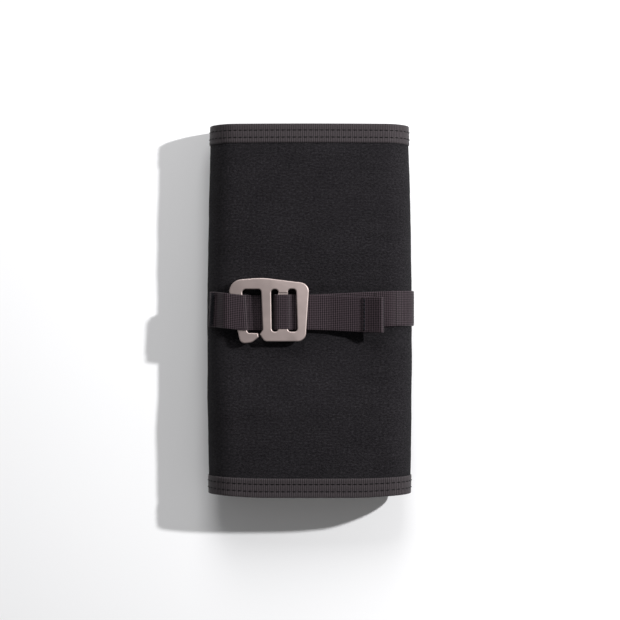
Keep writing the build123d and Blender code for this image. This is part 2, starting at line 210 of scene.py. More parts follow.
def thread_run(name, starts, ends, normals, radius=0.32 * MM, sink=0.12 * MM, shape=None):
    """Row of stitches: each a short thread that dips into the cloth at both ends."""
    around = 6
    stations = np.array([0.0, 0.12, 0.35, 0.65, 0.88, 1.0])
    lift = np.array([-0.9, -0.1, 0.25, 0.25, -0.1, -0.9]) * radius
    thick = np.array([0.45, 0.85, 1.0, 1.0, 0.85, 0.45]) * radius
    points, faces = [], []
    for start, end, normal in zip(starts, ends, normals):
        ahead = (end - start) / np.linalg.norm(end - start)
        side = np.cross(normal, ahead)
        base = len(points)
        for share, up, size in zip(stations, lift, thick):
            centre = start + (end - start) * share + normal * (up - sink + radius)
            for k in range(around):
                angle = 2 * math.pi * k / around
                points.append(centre + side * size * math.cos(angle) + normal * size * math.sin(angle))
        for ring in range(len(stations) - 1):
            for k in range(around):
                a = base + ring * around + k
                b = base + ring * around + (k + 1) % around
                faces.append((a, b, b + around, a + around))
        faces.append(tuple(base + k for k in range(around - 1, -1, -1)))
        last = base + (len(stations) - 1) * around
        faces.append(tuple(last + k for k in range(around)))
    points = np.array(points)
    if shape is not None:
        points = shape(points)
    item = mesh_object(name, points, faces)
    outward(item)
    return item


# ---------------------------------------------------------------- the soft shape of the wrap
def ease(value, low, high):
    """Smooth step from 0 at low to 1 at high."""
    t = np.clip((value - low) / (high - low), 0, 1)
    return t * t * (3 - 2 * t)


def ripple(points, size, seed):
    """Smooth noise at each point, from -1 to 1; size is its scale along each axis."""
    shift = Vector((seed * 7.1, seed * 3.7, seed * 5.3))
    scale = Vector((1 / size[0], 1 / size[1], 1 / size[2]))
    return np.array([noise.noise(Vector(p) * scale + shift) for p in points])


MIDDLE_Z = (CLOTH_TOP + shell_low.z) / 2
HALF_WIDTH = (shell_high.x - shell_low.x) / 2


def cloth_rise(x, y):
    """Height the soft front gains, in metres: it puffs out at both ends and sags just below the strap."""
    crown = np.clip(1 - np.abs(x / (1.02 * HALF_WIDTH)) ** 2, 0, 1)
    near_end = ease(np.abs(y), END_Y - 24 * MM, END_Y)
    above = 1.8 * ease(y, 12 * MM, 19 * MM) + 3.4 * ease(y, 14 * MM, 50 * MM)
    below = 7.0 * ease(-y, 28 * MM, 72 * MM) - 2.0 * ease(-y, 11 * MM, 17 * MM)
    return crown * (above + below) * (1 - 0.25 * near_end) * MM


def wrap_shape(points):
    """Barrel, squeeze under the strap and soft wrinkles of the rolled cloth."""
    moved = points.copy()
    x = points[:, 0] - MIDDLE_X
    y = points[:, 1]
    z = points[:, 2] - MIDDLE_Z
    far = y / END_Y
    side = ease(np.abs(x), 0.45 * HALF_WIDTH, 0.95 * HALF_WIDTH)
    bulge = (0.6 - 0.7 * far - 2.0 * far**2) * MM
    moved[:, 0] += np.sign(x) * side * bulge
    near_end = ease(np.abs(y), END_Y - 26 * MM, END_Y)
    front = ease(z, 0.45 * MIDDLE_Z, 0.9 * MIDDLE_Z)
    back = ease(-z, 0.45 * MIDDLE_Z, 0.9 * MIDDLE_Z)
    moved[:, 2] += front * cloth_rise(x, y)
    free = ease(np.abs(y), 13.0 * MM, 24 * MM)
    calm = free * (1 - 0.6 * near_end)
    broad = ripple(points, (0.055, 0.030, 0.06), 1)
    cross = ripple(points, (0.050, 0.0052, 0.06), 2)
    fine = ripple(points, (0.016, 0.0045, 0.02), 3)
    right = ease(x, -0.2 * HALF_WIDTH, 0.7 * HALF_WIDTH)
    waves = (0.5 * broad + (0.07 + 0.34 * right) * cross + (0.06 + 0.17 * right) * fine) * calm * MM
    moved[:, 2] += front * waves
    moved[:, 2] += back * waves * 0.4
    moved[:, 0] += np.sign(x) * side * (0.5 * broad + 0.1 * cross) * calm * MM
    pull = np.exp(-np.clip(np.abs(y) - 13.0 * MM, 0, 1) / (6 * MM)) * ease(np.abs(y), 12.5 * MM, 16 * MM)
    moved[:, 2] += front * pull * 0.3 * np.cos(x / (3.1 * MM) + 2.5 * np.sin(x / (11 * MM))) * MM
    corner = side * ease(-y, END_Y - 30 * MM, END_Y)
    moved[:, 1] += corner * 1.4 * MM
    return moved


# ---------------------------------------------------------------- materials
def node_material(name, colour, rough, metallic=0.0):
    material = bpy.data.materials.new(name)
    material.use_nodes = True
    tree = material.node_tree
    shader = tree.nodes["Principled BSDF"]
    shader.inputs["Base Color"].default_value = (*colour, 1)
    shader.inputs["Roughness"].default_value = rough
    shader.inputs["Metallic"].default_value = metallic
    return material, tree, shader


def add(tree, kind, **values):
    node = tree.nodes.new(kind)
    for key, value in values.items():
        if key in node.inputs:
            node.inputs[key].default_value = value
        else:
            setattr(node, key, value)
    return node


def mapped(tree, source, scale, rotation=(0, 0, 0)):
    """Texture coordinates scaled to real sizes: scale is the number of repeats in a metre."""
    coords = add(tree, "ShaderNodeTexCoord")
    mapping = add(tree, "ShaderNodeMapping")
    mapping.inputs["Scale"].default_value = scale
    mapping.inputs["Rotation"].default_value = rotation
    tree.links.new(coords.outputs[source], mapping.inputs["Vector"])
    return mapping.outputs["Vector"]


def colour_ramp(tree, value, low, high, low_at=0.0, high_at=1.0):
    ramp = add(tree, "ShaderNodeValToRGB")
    ramp.color_ramp.elements[0].position = low_at
    ramp.color_ramp.elements[0].color = (*low, 1)
    ramp.color_ramp.elements[1].position = high_at
    ramp.color_ramp.elements[1].color = (*high, 1)
    tree.links.new(value, ramp.inputs["Fac"])
    return ramp.outputs["Color"]


def maths(tree, operation, first, second):
    node = add(tree, "ShaderNodeMath", operation=operation)
    for socket, value in zip(node.inputs, (first, second)):
        if isinstance(value, (int, float)):
            socket.default_value = value
        else:
            tree.links.new(value, socket)
    return node.outputs[0]


def weighted(tree, first, first_share, second, second_share):
    """Sum of two values, each times its own share."""
    scaled_first = maths(tree, "MULTIPLY", first, first_share)
    scaled_second = maths(tree, "MULTIPLY", second, second_share)
    return maths(tree, "ADD", scaled_first, scaled_second)


def bumped(tree, shader, height, strength, distance):
    bump = add(tree, "ShaderNodeBump")
    bump.inputs["Strength"].default_value = strength
    bump.inputs["Distance"].default_value = distance
    tree.links.new(height, bump.inputs["Height"])
    tree.links.new(bump.outputs["Normal"], shader.inputs["Normal"])


def stripes(tree, vector, direction):
    wave = add(tree, "ShaderNodeTexWave", wave_type="BANDS", bands_direction=direction, wave_profile="SIN")
    wave.inputs["Scale"].default_value = 1.0
    wave.inputs["Distortion"].default_value = 0.0
    tree.links.new(vector, wave.inputs["Vector"])
    return wave.outputs["Fac"]


def waves_per(pitch):
    """Mapping scale that gives one band for each pitch, in metres."""
    return 2 * math.pi / (20 * pitch)


def woven(name, low, high, pitch, rough, sheen, bump=0.35, mottle=0.35):
    """Plain weave: crossed threads at a real pitch, with slow changes of shade."""
    material, tree, shader = node_material(name, high, rough)
    vector = mapped(tree, "UV", (waves_per(pitch), waves_per(pitch), 1))
    warp = stripes(tree, vector, "X")
    weft = stripes(tree, vector, "Y")
    threads = maths(tree, "MULTIPLY", warp, weft)
    speckle = add(tree, "ShaderNodeTexNoise", Scale=1.0, Detail=3.0, Roughness=0.6)
    tree.links.new(mapped(tree, "UV", (520, 900, 1)), speckle.inputs["Vector"])
    slow = add(tree, "ShaderNodeTexNoise", Scale=1.0, Detail=4.0, Roughness=0.55)
    tree.links.new(mapped(tree, "UV", (38, 55, 1)), slow.inputs["Vector"])
    crease = add(tree, "ShaderNodeTexNoise", Scale=1.0, Detail=3.0, Roughness=0.55)
    tree.links.new(mapped(tree, "UV", (110, 520, 1)), crease.inputs["Vector"])
    grain = weighted(tree, threads, 0.45, speckle.outputs["Fac"], 0.55)
    shade = weighted(tree, grain, 1 - mottle, slow.outputs["Fac"], mottle)
    tree.links.new(colour_ramp(tree, shade, low, high, 0.36, 0.66), shader.inputs["Base Color"])
    shader.inputs["Sheen Weight"].default_value = sheen
    shader.inputs["Sheen Roughness"].default_value = 0.45
    shader.inputs["Specular IOR Level"].default_value = 0.05
    relief = maths(tree, "ADD", grain, maths(tree, "MULTIPLY", crease.outputs["Fac"], 2.2))
    bumped(tree, shader, relief, bump, 0.25 * MM)
    return material


def ribbed(name, low, high, rib, thread, rough, sheen, bump=0.5):
    """Webbing or grosgrain: ribs across the length and finer threads along it."""
    material, tree, shader = node_material(name, high, rough)
    vector = mapped(tree, "UV", (waves_per(rib), waves_per(thread), 1))
    ribs = stripes(tree, vector, "X")
    threads = stripes(tree, vector, "Y")
    woven_height = weighted(tree, ribs, 0.6, threads, 0.4)
    speckle = add(tree, "ShaderNodeTexNoise", Scale=1.0, Detail=3.0, Roughness=0.6)
    tree.links.new(mapped(tree, "UV", (900, 900, 1)), speckle.inputs["Vector"])
    shade = weighted(tree, woven_height, 0.7, speckle.outputs["Fac"], 0.3)
    tree.links.new(colour_ramp(tree, shade, low, high, 0.32, 0.8), shader.inputs["Base Color"])
    shader.inputs["Sheen Weight"].default_value = sheen
    shader.inputs["Sheen Roughness"].default_value = 0.4
    shader.inputs["Specular IOR Level"].default_value = 0.1
    bumped(tree, shader, shade, bump, 0.2 * MM)
    return material


def metal(name, colour, rough, grain=2600, bump=0.05, brushed=False):
    """Bead-blasted or brushed metal."""
    material, tree, shader = node_material(name, colour, rough, 1.0)
    scale = (grain, grain * 0.04, grain) if brushed else (grain, grain, grain)
    speckle = add(tree, "ShaderNodeTexNoise", Scale=1.0, Detail=2.0, Roughness=0.5)
    tree.links.new(mapped(tree, "Object", scale), speckle.inputs["Vector"])
    slow = add(tree, "ShaderNodeTexNoise", Scale=1.0, Detail=2.0, Roughness=0.5)
    tree.links.new(mapped(tree, "Object", (70, 70, 70)), slow.inputs["Vector"])
    dark = tuple(c * 0.86 for c in colour)
    light = tuple(min(1.0, c * 1.06) for c in colour)
    tone = colour_ramp(tree, slow.outputs["Fac"], dark, light, 0.3, 0.7)
    tree.links.new(tone, shader.inputs["Base Color"])
    spread = add(tree, "ShaderNodeMapRange")
    spread.inputs["To Min"].default_value = rough - 0.06
    spread.inputs["To Max"].default_value = rough + 0.08
    tree.links.new(speckle.outputs["Fac"], spread.inputs["Value"])
    tree.links.new(spread.outputs["Result"], shader.inputs["Roughness"])
    bumped(tree, shader, speckle.outputs["Fac"], bump, 0.05 * MM)
    return material


def plush(name, low, high):
    """Short pile that lies one way."""
    material, tree, shader = node_material(name, high, 0.75)
    hairs = add(tree, "ShaderNodeTexNoise", Scale=1.0, Detail=5.0, Roughness=0.65)
    tree.links.new(mapped(tree, "UV", (420, 2600, 1)), hairs.inputs["Vector"])
    tone = colour_ramp(tree, hairs.outputs["Fac"], low, high, 0.3, 0.7)
    tree.links.new(tone, shader.inputs["Base Color"])
    shader.inputs["Sheen Weight"].default_value = 0.6
    shader.inputs["Sheen Roughness"].default_value = 0.5
    bumped(tree, shader, hairs.outputs["Fac"], 0.8, 0.4 * MM)
    return material


SHELL = woven(
    "shell_cloth", (0.002, 0.0018, 0.0024), (0.05, 0.046, 0.0515),
    0.55 * MM, 0.8, 0.015, 1.0, 0.1,
)
LINING = woven("lining_cloth", (0.035, 0.034, 0.036), (0.07, 0.068, 0.07), 0.3 * MM, 0.6, 0.1)
BINDING = ribbed("binding_tape", (0.01, 0.0082, 0.009), (0.07, 0.059, 0.064), TAPE_RIB, 0.8 * MM, 0.7, 0.12)
WEB = ribbed(
    "webbing_weave", (0.0015, 0.001, 0.0014), (0.062, 0.0445, 0.053),
    WEB_RIB, 1.25 * MM, 0.55, 0.06, 0.9,
)
THREAD = ribbed(
    "sewing_thread", (0.004, 0.0036, 0.004), (0.014, 0.013, 0.014),
    0.3 * MM, 0.3 * MM, 0.6, 0.05,
)
STRAP_THREAD = ribbed(
    "strap_thread", (0.006, 0.0065, 0.009), (0.024, 0.026, 0.033),
    0.3 * MM, 0.3 * MM, 0.6, 0.05,
)
HOOK = metal("blasted_hook", (0.44, 0.365, 0.35), 0.5)
STEEL = metal("steel_plate", (0.56, 0.56, 0.57), 0.32, brushed=True)
WIRE = metal("steel_wire", (0.62, 0.62, 0.63), 0.25)
RIVET = metal("rivet_metal", (0.66, 0.66, 0.67), 0.22)
PLUSH = plush("skin_pile", (0.05, 0.03, 0.014), (0.2, 0.13, 0.06))
GLUE = woven("glue_film", (0.22, 0.19, 0.12), (0.32, 0.28, 0.18), 0.8 * MM, 0.35, 0.0, 0.1)
SAVER = woven("saver_mesh", (0.3, 0.31, 0.31), (0.62, 0.63, 0.63), 1.6 * MM, 0.7, 0.1, 0.8)
TAIL_WEB = ribbed("tail_webbing", (0.02, 0.02, 0.022), (0.07, 0.07, 0.075), 1.3 * MM, 1.0 * MM, 0.75, 0.2)
LEVER = metal("lever_plastic", (0.05, 0.05, 0.055), 0.4, 900, 0.1)
LEVER.node_tree.nodes["Principled BSDF"].inputs["Metallic"].default_value = 0.0


def finish_piece(item, material, body=None, replaces=()):
    """Gives a mesh its material and slot, and the body and nodes it stands for."""
    item.data.materials.clear()
    item.data.materials.append(material)
    if body:
        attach(item, body)
    if replaces:
        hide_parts(*replaces)
    return item


# ---------------------------------------------------------------- the cloth wrap
WRAP_CORNERS = [
    (INNER_X, INNER_Z),
    (RIGHT_X, INNER_Z),
    (RIGHT_X, FRONT_Z),
    (LEFT_X, FRONT_Z),
    (LEFT_X, FLAP_Z),
    (FLAP_X, FLAP_Z),
]
SHORT = 0.02 * MM
WRAP_BENDS = [RIGHT_R - SHORT, RIGHT_R - SHORT, LEFT_R - SHORT, LEFT_R - SHORT]
WRAP_LINE = rounded(WRAP_CORNERS, WRAP_BENDS, 40)
ACROSS = (0, 1, 0)
CLOTH_COLUMNS = 130


def wrap_cloth():
    """Outer cloth and lining, each a thin layer of the same roll."""
    points, normals = in_section(spaced(WRAP_LINE, 2.0 * MM))
    outer_ring = tape_ring(END_Y, 0.45 * MM, CLOTH_COLUMNS, 1)
    lining_ring = tape_ring(END_Y, 0.34 * MM, CLOTH_COLUMNS, 1)
    outer_points = points + normals * 0.35 * MM
    inner_points = points - normals * 0.45 * MM
    outer = swept("wrap_cloth", outer_points, normals, ACROSS, outer_ring, shape=wrap_shape)
    inner = swept("wrap_lining", inner_points, normals, ACROSS, lining_ring, shape=wrap_shape)
    finish_piece(outer, SHELL, "wrap", ["outer_shell"])
    finish_piece(inner, LINING, "wrap", ["inner_lining"])
    return outer, inner


def fold_profile(depth, width):
    """Profile of tape folded over an edge: rows of (from the edge inwards is negative, out)."""
    outside = HALF + TAPE
    inside = HALF + 0.03 * MM
    steps = 10
    stations = [-width + width * k / steps for k in range(steps)]
    selvedge = outside - 0.1 * MM
    upper = [(stations[0], selvedge)] + [(u, outside) for u in stations[1:]]
    turn = []
    for k in range(9):
        angle = math.pi / 2 - math.pi * k / 8
        turn.append((depth * math.cos(angle), outside * math.sin(angle)))
    lower = [(u, -out) for u, out in reversed(upper)]
    back = [(-width, -inside), (-0.2 * MM, -inside), (0.0, 0.0), (-0.2 * MM, inside), (-width, inside)]
    return np.array(upper + turn + lower + back)


ROW_OUTER = 4.0 * MM
ROW_INNER = 9.1 * MM
STITCH_PITCH = 3.9 * MM
STITCH_LENGTH = 2.9 * MM


def rib_relief(pitch, depth, rows=()):
    """Ribs across a tape, with a groove along each sewn row."""
    def relief(far, wide):
        ribs = depth * np.cos(2 * math.pi * far / pitch)
        for row in rows:
            ribs = ribs - 0.16 * MM * np.exp(-(((wide + row) / (0.9 * MM)) ** 2))
        return ribs
    return relief


def end_bindings():
    """Grosgrain folded over both ends of the cloth, with two sewn rows each."""
    points, normals = in_section(spaced(WRAP_LINE, 0.45 * MM))
    for name, side in (("top", 1), ("bottom", -1)):
        profile = fold_profile(TAPE, BINDING_WIDTH)
        ring = profile.copy()
        ring[:, 0] = side * (END_Y + profile[:, 0])
        def relief(far, wide, side=side):
            return rib_relief(TAPE_RIB, 0.035 * MM, (ROW_OUTER, ROW_INNER))(far, side * wide - END_Y)
        tape = swept("binding_" + name, points, normals, ACROSS, ring, relief, wrap_shape)
        finish_piece(tape, BINDING, "wrap", ["end_binding_" + name])
        end_stitches(name, side)


def end_stitches(name, side):
    """Two sewn rows on each face of one end binding."""
    line = spaced(WRAP_LINE, STITCH_PITCH)
    points, normals = in_section(line)
    ahead = headings(line)
    tangents = np.column_stack([ahead[:, 0], np.zeros(len(line)), ahead[:, 1]])
    starts, ends, outs = [], [], []
    for face in (1, -1):
        for row in (ROW_OUTER, ROW_INNER):
            lift = normals * face * (HALF + TAPE - 0.1 * MM)
            middle = points + lift + np.array([0, side * (END_Y - row), 0])
            starts.extend(middle[1:-1] - tangents[1:-1] * STITCH_LENGTH / 2)
            ends.extend(middle[1:-1] + tangents[1:-1] * STITCH_LENGTH / 2)
            outs.extend(normals[1:-1] * face)
    rows = thread_run("stitches_" + name, starts, ends, outs, 0.3 * MM, 0.1 * MM, wrap_shape)
    finish_piece(rows, THREAD, "wrap")


def edge_bindings():
    """Grosgrain folded over the two long edges of the cloth."""
    for name, edge_x, centre_z, inward in (
        ("flap_edge_binding", FLAP_X, FLAP_Z, -1),
        ("inner_edge_binding", INNER_X, INNER_Z, 1),
    ):
        reach = END_Y - BINDING_WIDTH
        line = np.column_stack([np.full(2, edge_x), [-reach, reach], np.full(2, centre_z)])
        points = spaced(line, 0.65 * MM)
        normals = np.tile((0.0, 0.0, 1.0), (len(points), 1))
        ring = fold_profile(TAPE, BINDING_WIDTH)
        ring[:, 0] = -inward * ring[:, 0]
        relief = rib_relief(TAPE_RIB, 0.03 * MM)
        tape = swept("tape_" + name, points, normals, (1, 0, 0), ring, relief, wrap_shape)
        finish_piece(tape, BINDING, "wrap", [name])
        rows_of_edge(name, edge_x, centre_z, inward, reach)


def rows_of_edge(name, edge_x, centre_z, inward, reach):
    """Two sewn rows on each face of a long edge, left out where the strap passes under the flap."""
    starts, ends, outs = [], [], []
    count = int(2 * reach / STITCH_PITCH) - 1
    for face in (1, -1):
        for row in (ROW_OUTER, ROW_INNER):
            for k in range(count):
                y = -reach + STITCH_PITCH * (k + 1)
                if face == -1 and inward == -1 and abs(y) < 15 * MM:
                    continue
                base = np.array([edge_x + inward * row, y, centre_z + face * (HALF + TAPE - 0.08 * MM)])
                step = np.array([0, STITCH_LENGTH / 2, 0])
                starts.append(base - step)
                ends.append(base + step)
                outs.append(np.array([0, 0, float(face)]))
    rows = thread_run("stitches_" + name, starts, ends, outs, 0.28 * MM, 0.12 * MM, wrap_shape)
    finish_piece(rows, THREAD, "wrap")


# ---------------------------------------------------------------- webbing
WEB_HALF = (main_high.y - main_low.y) / 2


def web_relief(far, wide):
    """Ribs of the webbing, flatter at its selvedges."""
    inner = ease(WEB_HALF - np.abs(wide), 0.6 * MM, 1.6 * MM)
    weave = np.cos(2 * math.pi * far / WEB_RIB) * (0.75 + 0.25 * np.cos(2 * math.pi * wide / (1.1 * MM)))
    return 0.14 * MM * weave * inner


def webbing(name, line, y_centre=None, thickness=None, step=0.33 * MM, columns=34, shape=None):
    """Webbing along a line of X and Z; y_centre gives its middle for each X."""
    line = spaced(line, step)
    points, normals = in_section(line)
    if y_centre is not None:
        points[:, 1] = y_centre(points[:, 0])
    ring = tape_ring(WEB_HALF, (thickness or WEBBING) / 2, columns)
    return swept(name, points, normals, ACROSS, ring, web_relief, shape)


def main_y(x):
    """The lower run drifts up the wrap towards the right side."""
    share = ease(x, hook_high.x - 10 * MM, shell_high.x)
    return (STRAP_Y + 2.6 * share) * MM


def tail_y(x):
    """The free tail drifts down the wrap towards its end."""
    share = ease(x, hook_high.x - 5 * MM, hem_high.x)
    return (STRAP_Y - 1.9 * share) * MM


def back_run():
    """Strap under the flap and up the right side."""
    half = WEBBING / 2
    radius = RIGHT_R + HALF + 0.3 * MM + half
    side_x = RIGHT_X - RIGHT_R + radius
    centre_z = (FRONT_Z + INNER_Z) / 2
    corners = [
        (back_low.x, half),
        (FLAP_X + 1.5 * MM, half),
        (FLAP_X + 5.0 * MM, centre_z - radius),
        (side_x, centre_z - radius),
        (side_x, centre_z + radius),
        (HINGE.x - 25 * MM, centre_z + radius),
    ]
    line = rounded(corners, [3.0 * MM, 3.0 * MM, radius - SHORT, radius - SHORT], 40)
    return spaced(line, 0.25 * MM)


FRONT_INSET = 1.9 * MM
SEAM_LAP = 3 * MM
STRAP_Y = -1.0    # the strap's middle at the hook, in millimetres


def strap_pieces():
    """Back run, turn at the right edge, and front run of the strap."""
    whole = back_run()
    split_low, split_high = 44.0 * MM, HINGE.x + 5.0 * MM
    upper = whole[:, 1] > MIDDLE_Z
    first = whole[~(upper & (whole[:, 0] < split_high))]
    turn = whole[upper & (whole[:, 0] < split_high + 0.3 * MM) & (whole[:, 0] > split_low)]
    back = webbing("strap_back", first, back_y, shape=strap_side_shape)
    finish_piece(back, WEB, "wrap", ["back_strap"])
    bend = webbing("strap_turn", turn, main_y, shape=strap_side_shape)
    finish_piece(bend, WEB)
    z = (main_low.z + main_high.z) / 2
    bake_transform(bend)
    under_turn = z - 0.03 * MM
    front = np.array([(split_low + SEAM_LAP, under_turn), (main_low.x + FRONT_INSET, under_turn)])
    run = webbing("strap_front", front, main_y)
    finish_piece(run, WEB)
    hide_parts("strap_main")
    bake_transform(run)


def back_y(x):
    """Middle of the back run, which meets the turn at the right edge."""
    return np.full(len(x), float(main_y(np.array([shell_high.x]))[0]))


def strap_side_shape(points):
    """Moves the strap out with the side of the cloth."""
    moved = points.copy()
    x = points[:, 0] - MIDDLE_X
    side = ease(np.abs(x), 0.45 * HALF_WIDTH, 0.95 * HALF_WIDTH)
    moved[:, 0] += np.sign(x) * side * 0.6 * MM
    return moved


HEM_SLOPE = math.radians(18.6)
HEM_LOOP = 1.5 * MM


def bight_and_tail():
    """Turn over the hook's bar and the free tail with its hem."""
    half = WEBBING / 2
    low = tail_low.z + half
    high = bight_high.z - half
    foot_left = bight_low.x + half + 0.9 * MM
    left = bight_low.x + 0.5 * MM
    right = bight_high.x - 0.7 * MM
    foot = bight_high.x - half
    under = 7.0 * MM
    over = [
        (foot_left, main_low.z + half),
        (bight_low.x + half, low),
        (left, high),
        (right, high),
        (foot, low),
        (foot + under, low),
    ]
    line = rounded(over, [0.3 * MM, 3.4 * MM, 3.8 * MM, 0.8 * MM], 16)
    turn = webbing("strap_bight", line, lambda x: np.full(len(x), STRAP_Y * MM), step=0.22 * MM)
    finish_piece(turn, WEB, "hook", ["strap_bight"])
    start = (foot + under - 0.1 * MM, low)
    line = tail_line(start)
    tail = webbing("strap_tail", line, tail_y)
    finish_piece(tail, WEB)
    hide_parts("strap_tail", "tail_hem")
    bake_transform(tail)


def tail_line(start):
    """Free tail: flat under the hook, standing up towards its end, and folded back as a soft hem."""
    half = WEBBING / 2
    ahead = np.array([math.cos(HEM_SLOPE), math.sin(HEM_SLOPE)])
    out = np.array([-ahead[1], ahead[0]])
    last = np.array([tail_high.x - 0.5 * MM, tail_high.z - half])
    hem = np.array([hem_low.x, last[1] - (last[0] - hem_low.x) * math.tan(HEM_SLOPE)])
    gap = 2 * HEM_LOOP
    seam = hem + ahead * 2.4 * MM + out * WEBBING
    flat = [start, (14 * MM, start[1]), hem, last, last + out * gap, seam, hem + out * WEBBING]
    return rounded(flat, [24 * MM, 16 * MM, HEM_LOOP - SHORT, HEM_LOOP - SHORT, 6 * MM], 16)


def hem_stitches():
    """Sewn row across the hem."""
    low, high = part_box("tail_stitching")
    x = (low.x + high.x) / 2
    out = np.array([-math.sin(HEM_SLOPE), 0, math.cos(HEM_SLOPE)])
    count = 8
    pitch = 2 * (WEB_HALF - 1.0 * MM) / count
    starts, ends, outs = [], [], []
    middle = float(tail_y(np.array([x]))[0])
    for k in range(count):
        y = middle + (k + 0.5 - count / 2) * pitch
        base = np.array([x - 1.2 * MM, y, low.z - 0.2 * MM])
        step = np.array([0, pitch * 0.4, 0])
        starts.append(base - step)
        ends.append(base + step)
        outs.append(out)
    row = thread_run("hem_stitches", starts, ends, outs, 0.42 * MM)
    finish_piece(row, STRAP_THREAD, "tail", ["tail_stitching"])


def loop_y(x):
    """The loop leans down the wrap towards the hook."""
    share = ease(x, loop_low.x, loop_high.x)
    return (1.0 - 2.4 * share) * MM


SEAM_SHIFT = 1.4 * MM


def loop_pieces():
    """Loop that holds the hook's arm, its anchor on the wrap, and the bartack."""
    half = WEBBING / 2
    centre_x = LEFT_X + LEFT_R
    centre_z = (FRONT_Z + FLAP_Z) / 2
    def side_route(outward, right_x):
        radius = LEFT_R + HALF + outward
        top_z, left_x = centre_z + radius, centre_x - radius
        corners = [(right_x, top_z), (left_x, top_z), (left_x, centre_z)]
        line = spaced(rounded(corners, [radius - SHORT], 60), 0.2 * MM)
        return line[line[:, 0] > loop_low.x + SEAM_SHIFT]
    anchor = webbing("loop_anchor", side_route(half, anchor_high.x), loop_y, shape=strap_side_shape)
    finish_piece(anchor, WEB, "wrap", ["loop_anchor"])
    lower = side_route(WEBBING + half + 0.04 * MM, loop_high.x - 3 * MM)
    upper = side_route(2 * WEBBING + half + 0.08 * MM, loop_high.x - 3 * MM)
    rejoin = loop_low.x + 7.0 * MM
    upper = upper[upper[:, 0] < rejoin]
    fold_x = loop_high.x - half
    low_z, high_z = lower[0, 1], loop_high.z - half
    fold = [(fold_x - 3 * MM, low_z), (fold_x, low_z), (fold_x, high_z)]
    top = fold + [(loop_low.x + 12.5 * MM, high_z), tuple(upper[0])]
    arch = rounded(top, [2.4 * MM, 2.4 * MM, 5.0 * MM], 16)
    line = np.concatenate([lower[::-1], arch[1:-1], upper])
    loop = webbing("hook_loop", line, loop_y, shape=loop_shape)
    finish_piece(loop, WEB, "wrap", ["hook_loop"])
    bartack(centre_x, centre_z)


def loop_shape(points):
    """Fold that follows the leaning arm of the hook, and a lip and groove at the sewn end."""
    moved = strap_side_shape(points)
    near_fold = ease(points[:, 0], loop_high.x - 12 * MM, loop_high.x - 2 * MM)
    moved[:, 0] -= near_fold * 0.06 * (points[:, 1] + WEB_HALF)
    near_seam = ease(-points[:, 0], -loop_low.x - 14 * MM, -loop_low.x)
    moved[:, 0] += near_seam * 0.07 * points[:, 1]
    outer = ease(points[:, 2], CLOTH_TOP - 9 * MM, CLOTH_TOP - 7 * MM)
    from_end = (points[:, 0] - loop_low.x - SEAM_SHIFT) / MM
    lip = 0.45 * np.exp(-((from_end - 0.8) ** 2)) - 0.3 * np.exp(-((from_end - 3.0) ** 2) / 1.4)
    moved[:, 2] += outer * lip * MM
    return moved


def bartack(centre_x, centre_z):
    """Dense zigzag that closes the loop at the left edge."""
    low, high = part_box("loop_bartack")
    radius = LEFT_R + HALF + 3 * WEBBING + 0.1 * MM
    starts, ends, outs = [], [], []
    count = 26
    for k in range(count):
        y = float(loop_y(np.array([low.x]))[0]) + (k + 0.5 - count / 2) * 0.9 * MM
        ends_of_stitch = []
        for x in (low.x, high.x) if k % 2 else (high.x, low.x):
            dx = x + SEAM_SHIFT - centre_x
            ends_of_stitch.append(np.array([x, y, centre_z + math.sqrt(radius**2 - dx**2)]))
        starts.append(ends_of_stitch[0] - np.array([0, 0.4 * MM, 0]))
        ends.append(ends_of_stitch[1] + np.array([0, 0.4 * MM, 0]))
        middle = (low.x + high.x) / 2 + SEAM_SHIFT - centre_x
        out = np.array([middle, 0, math.sqrt(radius**2 - middle**2)]) / radius
        outs.append(out)
    tack = thread_run("loop_bartack", starts, ends, outs, 0.3 * MM, 0.25 * MM, loop_shape)
    finish_piece(tack, STRAP_THREAD, "wrap", ["loop_bartack"])


# ---------------------------------------------------------------- folded skins
SKIN_STEP = 2.5 * MM
SKIN_HALF = 1.55 * MM


def skin_line(name):
    """Middle line of a doubled skin in Y and Z, from its middle fold to its ends, and its glue's end."""
    low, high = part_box(name + "_skin_plush")
    pitch = (high.z - low.z - 2 * SKIN_HALF) / 3
    far = low.y + SKIN_HALF
    glue_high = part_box(name + "_skin_saver")[1]
    near = -far - 40 * MM
    heights = [low.z + SKIN_HALF + pitch * k for k in range(4)]
    corners = [
        (near, heights[0]),
        (far, heights[0]),
        (far, heights[1]),
        (near, heights[1]),
        (near, heights[2]),
        (far, heights[2]),
        (far, heights[3]),
        (high.y, heights[3]),
    ]
    return rounded(corners, [pitch / 2 - SHORT] * 6, 10), glue_high.y


def in_length(line):
    """A line of Y and Z as points in space, with its left-hand normals."""
    ahead = headings(line)
    points = np.column_stack([np.zeros(len(line)), line[:, 0], line[:, 1]])
    normals = np.column_stack([np.zeros(len(line)), -ahead[:, 1], ahead[:, 0]])
    return points, normals


def doubled_line(line, offset):
    """Line on both sides of the middle line and round its folded start."""
    ahead = headings(line)
    left = np.column_stack([-ahead[:, 1], ahead[:, 0]])
    upper = line + left * offset
    lower = line - left * offset
    turn = []
    for k in range(1, 8):
        angle = math.pi * k / 8
        turn.append(line[0] + left[0] * offset * math.cos(angle) - ahead[0] * offset * math.sin(angle))
    return np.concatenate([upper[::-1], np.array(turn), lower])


